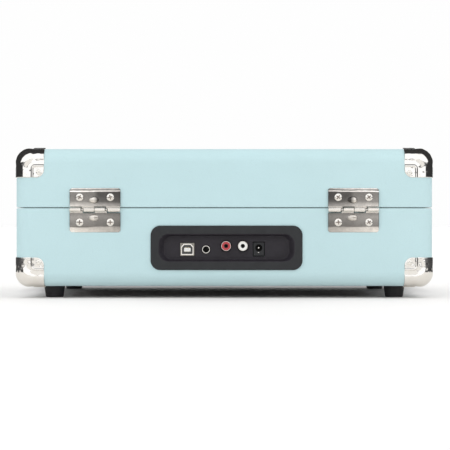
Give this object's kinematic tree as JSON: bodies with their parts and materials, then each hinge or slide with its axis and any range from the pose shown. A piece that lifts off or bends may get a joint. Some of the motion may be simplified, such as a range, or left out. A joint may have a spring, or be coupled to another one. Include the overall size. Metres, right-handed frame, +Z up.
{
  "type": "suitcase record player",
  "caption": "Portable turntable in a hinged leatherette suitcase: lid and base with metal corners, butt hinges, latches, carrying handle, belt-driven platter, tonearm and rear socket tray.",
  "frame": {"origin": "on the surface the feet stand on, under the middle of the whole closed object, its handle and hinges included", "axes": "+Z up, +X to the right seen from the front, +Y towards the back where the lid's hinges and the socket tray are"},
  "size_m": [0.3522, 0.2744, 0.1266],
  "materials": {
    "leatherette": "pale blue vinyl leatherette with a fine pebble grain, satin, glued over board",
    "handle_leatherette": "padded pale blue leatherette, stitched",
    "corner_chrome": "pressed steel, bright nickel-chrome plated",
    "hinge_nickel": "nickel-plated steel, lightly brushed",
    "latch_nickel": "nickel-plated pressed steel",
    "foot_rubber": "black rubber, matt",
    "tray_plastic": "moulded dark grey plastic, fine spark texture",
    "black_plastic": "moulded black plastic, satin",
    "socket_metal": "tinned steel shell",
    "socket_black": "black moulded socket body",
    "ivory_plastic": "moulded socket block, one red and one white insert",
    "board_green": "green lacquered circuit board",
    "speaker_frame": "black painted basket and magnet, paper cone",
    "steel": "plated and turned steel",
    "belt_rubber": "flat black rubber belt",
    "lead_plastic": "black sleeved lead",
    "platter_plastic": "black moulded platter",
    "felt": "black felt",
    "brass": "turned brass",
    "arm_black": "black painted tube and moulded headshell",
    "cartridge_red": "red moulded stylus carrier",
    "adapter_plastic": "pale moulded plastic",
    "knob_black": "black moulded knob, satin"
  },
  "bodies": {
    "base": {"base_case": "leatherette", "deck_plate": "black_plastic", "foot_front_left": "foot_rubber", "foot_front_right": "foot_rubber", "foot_rear_left": "foot_rubber", "foot_rear_right": "foot_rubber", "base_corner_front_left": "corner_chrome", "base_corner_front_right": "corner_chrome", "base_corner_rear_left": "corner_chrome", "base_corner_rear_right": "corner_chrome", "hinge_leaf_base_left": "hinge_nickel", "hinge_leaf_base_right": "hinge_nickel", "hinge_pin_left": "hinge_nickel", "hinge_pin_right": "hinge_nickel", "socket_tray": "tray_plastic", "usb_socket": "socket_metal", "aux_socket": "socket_metal", "line_out_sockets": "ivory_plastic", "power_socket": "socket_black", "circuit_board": "board_green", "speaker_left": "speaker_frame", "speaker_right": "speaker_frame", "speaker_grille_left": "black_plastic", "speaker_grille_right": "black_plastic", "motor": "steel", "spindle": "steel", "drive_belt": "belt_rubber", "speaker_lead": "lead_plastic", "tonearm_base": "black_plastic", "arm_rest": "black_plastic", "handle_bracket_left": "latch_nickel", "handle_bracket_right": "latch_nickel", "latch_plate_left": "latch_nickel", "latch_plate_right": "latch_nickel"},
    "lid": {"lid_case": "leatherette", "lid_corner_front_left": "corner_chrome", "lid_corner_front_right": "corner_chrome", "lid_corner_rear_left": "corner_chrome", "lid_corner_rear_right": "corner_chrome", "hinge_leaf_lid_left": "hinge_nickel", "hinge_leaf_lid_right": "hinge_nickel", "latch_catch_left": "latch_nickel", "latch_catch_right": "latch_nickel"},
    "platter": {"platter": "platter_plastic", "slip_mat": "felt"},
    "pulley": {"motor_pulley": "brass"},
    "arm_turret": {"tonearm_yoke": "black_plastic"},
    "tonearm": {"tonearm_tube": "arm_black", "cartridge": "cartridge_red"},
    "cue_lever": {"cue_lever": "black_plastic"},
    "cue_lifter": {"cue_lifter": "black_plastic"},
    "rest_clip": {"rest_clip": "black_plastic"},
    "adapter": {"adapter_45": "adapter_plastic"},
    "volume_knob": {"volume_knob": "knob_black"},
    "source_knob": {"source_knob": "knob_black"},
    "speed_slider": {"speed_slider": "knob_black"},
    "autostop_slider": {"autostop_slider": "knob_black"},
    "handle": {"handle_grip": "handle_leatherette"},
    "latch_left": {"latch_lever_left": "latch_nickel"},
    "latch_right": {"latch_lever_right": "latch_nickel"}
  },
  "joints": [
    {"name": "lid_hinge", "type": "hinge", "parent": "base", "child": "lid", "pos_m": [0, 0.1352, 0.0741], "axis": [-1, 0, 0], "range_deg": [0, 100]},
    {"name": "handle_swing", "type": "hinge", "parent": "base", "child": "handle", "pos_m": [0, -0.13075, 0.06], "axis": [-1, 0, 0], "range_deg": [0, 100]},
    {"name": "latch_left_flip", "type": "hinge", "parent": "base", "child": "latch_left", "pos_m": [-0.082, -0.12725, 0.0455], "axis": [1, 0, 0], "range_deg": [0, 110], "stiffness_Nm_per_rad": 0.02, "springref_deg": -20.05},
    {"name": "latch_right_flip", "type": "hinge", "parent": "base", "child": "latch_right", "pos_m": [0.082, -0.12725, 0.0455], "axis": [1, 0, 0], "range_deg": [0, 110], "stiffness_Nm_per_rad": 0.02, "springref_deg": -20.05},
    {"name": "platter_spin", "type": "hinge", "parent": "base", "child": "platter", "pos_m": [-0.042, 0.00525, 0.08], "axis": [0, 0, 1], "continuous": true},
    {"name": "pulley_spin", "type": "hinge", "parent": "base", "child": "pulley", "pos_m": [-0.09998, 0.06323, 0.075], "axis": [0, 0, 1], "continuous": true},
    {"name": "tonearm_swing", "type": "hinge", "parent": "base", "child": "arm_turret", "pos_m": [0.118, 0.09125, 0.08], "axis": [0, 0, -1], "range_deg": [0, 46]},
    {"name": "tonearm_lift", "type": "hinge", "parent": "arm_turret", "child": "tonearm", "pos_m": [0.118, 0.09125, 0.092], "axis": [-1, 0, 0], "range_deg": [0, 3.3]},
    {"name": "cue_lever_turn", "type": "hinge", "parent": "base", "child": "cue_lever", "pos_m": [0.14, 0.08725, 0.0746], "axis": [-1, 0, 0], "range_deg": [0, 65]},
    {"name": "cue_lifter_rise", "type": "slide", "parent": "base", "child": "cue_lifter", "axis": [0, 0, 1], "range_m": [0, 0.002]},
    {"name": "rest_clip_turn", "type": "hinge", "parent": "base", "child": "rest_clip", "pos_m": [0.1241, -0.01475, 0.0974], "axis": [0, -1, 0], "range_deg": [0, 88]},
    {"name": "adapter_lift", "type": "slide", "parent": "base", "child": "adapter", "axis": [0, 0, 1], "range_m": [0, 0.012]},
    {"name": "volume_turn", "type": "hinge", "parent": "base", "child": "volume_knob", "pos_m": [0.146, -0.08675, 0.073], "axis": [0, 0, -1], "range_deg": [0, 280]},
    {"name": "source_turn", "type": "hinge", "parent": "base", "child": "source_knob", "pos_m": [0.146, -0.05475, 0.073], "axis": [0, 0, -1], "range_deg": [0, 60]},
    {"name": "speed_slide", "type": "slide", "parent": "base", "child": "speed_slider", "axis": [0, 1, 0], "range_m": [0, 0.016]},
    {"name": "autostop_slide", "type": "slide", "parent": "base", "child": "autostop_slider", "axis": [0, 1, 0], "range_m": [0, 0.006]}
  ],
  "couplings": [
    {"joint": "pulley_spin", "follows": "platter_spin", "ratio": 13.2},
    {"joint": "tonearm_lift", "follows": "cue_lever_turn", "ratio": 0.05},
    {"joint": "cue_lifter_rise", "follows": "cue_lever_turn", "m_per_rad": 0.00175}
  ]
}
